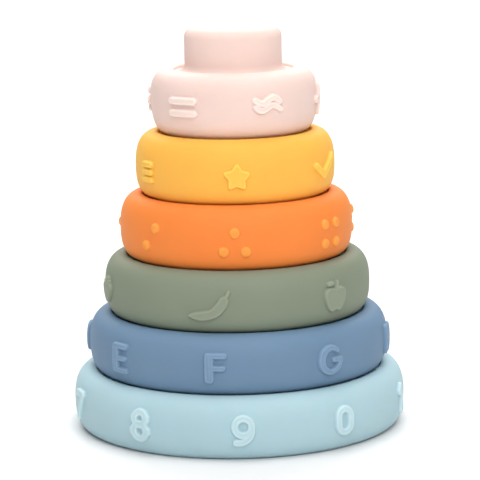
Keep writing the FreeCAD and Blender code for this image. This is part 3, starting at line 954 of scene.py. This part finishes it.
class GridMesh:
    """Points and faces gathered row by row, in millimetres, with a share of painted highlight on each point.
    """

    def __init__(self) -> None:
        """Start with nothing."""
        self.points: list[Array] = []
        self.shares: list[Array] = []
        self.faces: list[list[int]] = []
        self.count = 0

    def loop(self, x: Array, y: Array, z: Array, share: Array | None = None) -> Array:
        """Add a closed loop of points and return their numbers."""
        self.points.append(np.stack([x, y, z], axis=1))
        self.shares.append(np.zeros(len(x)) if share is None else share)
        numbers = np.arange(self.count, self.count + len(x))
        self.count += len(x)
        return numbers

    def rows(self, turns: Array, radii: Array, heights: Array, shares: Array) -> list[Array]:
        """Add rows of points round the axis, joined by faces that look outwards.

        Args:
            turns: Angle of each column from the front.
            radii: Radius of each point, row by row.
            heights: Height of each point, row by row.
            shares: Share of painted highlight of each point.

        Returns:
            The numbers of each row's points.
        """
        shares = np.broadcast_to(shares, radii.shape)
        across, forwards = np.sin(turns), -np.cos(turns)
        loops = [self.loop(r * across, r * forwards, z, s) for r, z, s in zip(radii, heights, shares)]
        for low, high in zip(loops, loops[1:]):
            self.band(low, high)
        return loops

    def band(self, low: Array, high: Array) -> None:
        """Join two loops of the same length."""
        faces = np.stack([low, np.roll(low, -1), np.roll(high, -1), high], axis=1)
        self.faces += faces.tolist()

    def sew(self, fine: Array, coarse: Array, forwards: bool) -> None:
        """Join a loop to one with a third of its points.

        Args:
            fine: Numbers of the loop with more points.
            coarse: Numbers of the loop with fewer.
            forwards: Whether the coarse loop follows the fine one.
        """
        for k in range(len(coarse)):
            edge = [int(fine[(3 * k + i) % len(fine)]) for i in range(4)]
            face = edge + [int(coarse[(k + 1) % len(coarse)]), int(coarse[k])]
            self.faces.append(face if forwards else face[::-1])

    def cap(self, loop: Array, height: float, upwards: bool) -> None:
        """Close a loop with a fan about the axis."""
        middle = int(self.loop(np.zeros(1), np.zeros(1), np.full(1, height))[0])
        for a, b in zip(loop, np.roll(loop, -1)):
            self.faces.append([int(a), int(b), middle] if upwards else [int(b), int(a), middle])

    def piece(self, name: str, lift: float) -> bpy.types.Object:
        """Hand the mesh to Blender.

        Args:
            name: Name of the new object.
            lift: Height to raise it by, in millimetres.

        Returns:
            The object, smooth-shaded, in metres.
        """
        points = np.vstack(self.points)
        points[:, 2] += lift
        data = bpy.data.meshes.new(name)
        data.from_pydata((points * MM).tolist(), [], self.faces)
        # The point layer carries each point's share of painted highlight.
        layer = data.attributes.new(PAINTED_HIGHLIGHT_LAYER, "FLOAT", "POINT")
        layer.data.foreach_set("value", np.concatenate(self.shares).astype(np.float32))
        data.polygons.foreach_set("use_smooth", np.ones(len(data.polygons), bool))
        data.update()
        made = bpy.data.objects.new(name, data)
        bpy.context.scene.collection.objects.link(made)
        return made


@dataclass
class Tower:
    """The whole toy: six rings, widest at the bottom."""

    base_radius: float = 62.5
    top_radius: float = 31.0
    book: SymbolBook = field(default_factory=SymbolBook)

    def finishes(self) -> dict[str, Silicone]:
        """The colour of each ring and the lighter colour of the painted highlight on its symbols, from the
        bottom up.
        """
        return {
            # Second colour of each: the painted highlight on the symbols, lighter than the body.
            "number_ring": Silicone("pale_blue", (170, 199, 207), (194, 219, 225), glow=0.25),
            "letter_ring": Silicone("slate_blue", (108, 135, 161), (124, 152, 179), glow=0.2),
            "fruit_ring": Silicone("sage_green", (129, 138, 119), (143, 151, 133), glow=0.2),
            "dot_ring": Silicone("orange", (239, 136, 63), (245, 161, 74), glow=0.45),
            "shape_ring": Silicone("amber", (244, 183, 79), (247, 199, 90), glow=0.5),
            "sign_ring": Silicone("blush_pink", (233, 207, 198), (244, 224, 216), glow=0.4),
        }

    def build(self) -> list[bpy.types.Object]:
        """Make every ring, with heights and bores taken from the frame.

        Returns:
            The rings, from the bottom up.
        """
        finishes = self.finishes()
        nodes = list(finishes)
        mounts = {mount["name"]: mount for mount in frame["record"]["mounts"]}
        boss_radius = mounts["knob"]["dims"]["r_mm"]
        socket_radius = mounts["base_socket"]["dims"]["r_mm"]
        rims = [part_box(node)[0].z / MM for node in nodes]
        foot = mounts["knob"]["pos_m"][2] / MM - mounts["knob"]["dims"]["length_mm"] / 2
        seat = foot - Ring.knob_foot_round + Ring.knob_groove
        step = (self.base_radius - self.top_radius) / (len(nodes) - 1)
        pieces = []
        for k, (node, rim, ceiling) in enumerate(zip(nodes, rims, rims[1:] + [seat])):
            top = k == len(nodes) - 1
            radius = self.base_radius - k * step
            symbol_height, symbols = self.book.page(node)
            ring = Ring(
                node=node,
                radius=radius,
                silicone=finishes[node],
                symbols=symbols,
                symbol_height=symbol_height,
                rim=rim,
                height=ceiling - rim,
                boss_radius=boss_radius,
                socket_radius=socket_radius,
                foot_above=radius - step - Ring.rim_inset,
                top=top,
            )
            pieces.append(ring.build())
        return pieces


# ---- Studio ------------------------------------------------------------------------------
@dataclass
class Studio:
    """Floor, soft light and camera."""

    eye: tuple[float, float, float] = (0.00128, -0.9, 0.2327)
    pitch: float = 10.29
    roll: float = 1.09
    lens: float = 181.8

    def camera(self) -> None:
        """Set up the camera: a long lens, a little above the tower."""
        data = bpy.data.cameras.new("camera")
        data.lens = self.lens
        data.sensor_width = 36.0
        data.clip_end = 50.0
        made = bpy.data.objects.new("camera", data)
        bpy.context.scene.collection.objects.link(made)
        pitched = Matrix.Rotation(math.radians(90 - self.pitch), 4, "X")
        tilt = pitched @ Matrix.Rotation(math.radians(-self.roll), 4, "Z")
        made.matrix_world = Matrix.Translation(Vector(self.eye)) @ tilt
        bpy.context.scene.camera = made

    def floor(self) -> None:
        """Lay a plain white floor."""
        half = 6.0
        data = bpy.data.meshes.new("floor")
        corners = [(-half, -half, 0), (half, -half, 0), (half, half, 0), (-half, half, 0)]
        data.from_pydata(corners, [], [(0, 1, 2, 3)])
        made = bpy.data.objects.new("floor", data)
        bpy.context.scene.collection.objects.link(made)
        shader = Shader("floor_white")
        matt_white = {"Base Color": (0.8, 0.8, 0.8, 1.0), "Roughness": 0.9, "Specular IOR Level": 0.1}
        paint = shader.node("ShaderNodeBsdfPrincipled", {}, matt_white)
        data.materials.append(shader.finish(paint))

    def lamp(
        self,
        name: str,
        place: tuple[float, float, float],
        size: tuple[float, float],
        power: float,
        aim: tuple[float, float, float] = (0.0, 0.0, 0.07),
    ) -> None:
        """Hang a soft rectangular lamp.

        Args:
            name: Name of the lamp.
            place: Where it hangs, in metres.
            size: Its width and height, in metres.
            power: Its power in watts.
            aim: The point that it looks at; the tower's middle if left out.
        """
        data = bpy.data.lights.new(name, "AREA")
        data.shape = "RECTANGLE"
        data.size, data.size_y = size
        data.energy = power
        made = bpy.data.objects.new(name, data)
        bpy.context.scene.collection.objects.link(made)
        made.location = place
        made.rotation_euler = (Vector(aim) - Vector(place)).to_track_quat("-Z", "Y").to_euler()

    def build(self) -> None:
        """Set up everything round the tower."""
        self.camera()
        self.floor()
        self.lamp("front_softbox", (0.2, -1.5, 1.2), (1.3, 0.9), 21.0)
        self.lamp("overhead_softbox", (0.0, 0.15, 1.6), (1.6, 1.6), 21.0)
        self.lamp("floor_wash", (0.0, 2.4, 1.8), (3.0, 1.6), 70.0, aim=(0.0, 1.6, 0.0))
        world = bpy.data.worlds.new("studio")
        world.use_nodes = True
        sky = world.node_tree.nodes["Background"].inputs
        sky["Color"].default_value = (1.0, 1.0, 1.0, 1.0)
        sky["Strength"].default_value = 0.3
        bpy.context.scene.world = world
        bpy.context.scene.view_settings.view_transform = "Standard"


def main() -> None:
    """Build the tower and its studio."""
    logging.basicConfig(level=logging.INFO, format="%(name)s: %(message)s")
    pieces = Tower().build()
    Studio().build()
    LOG.info("made %d pieces", len(pieces))


if __name__ == "__main__":
    main()
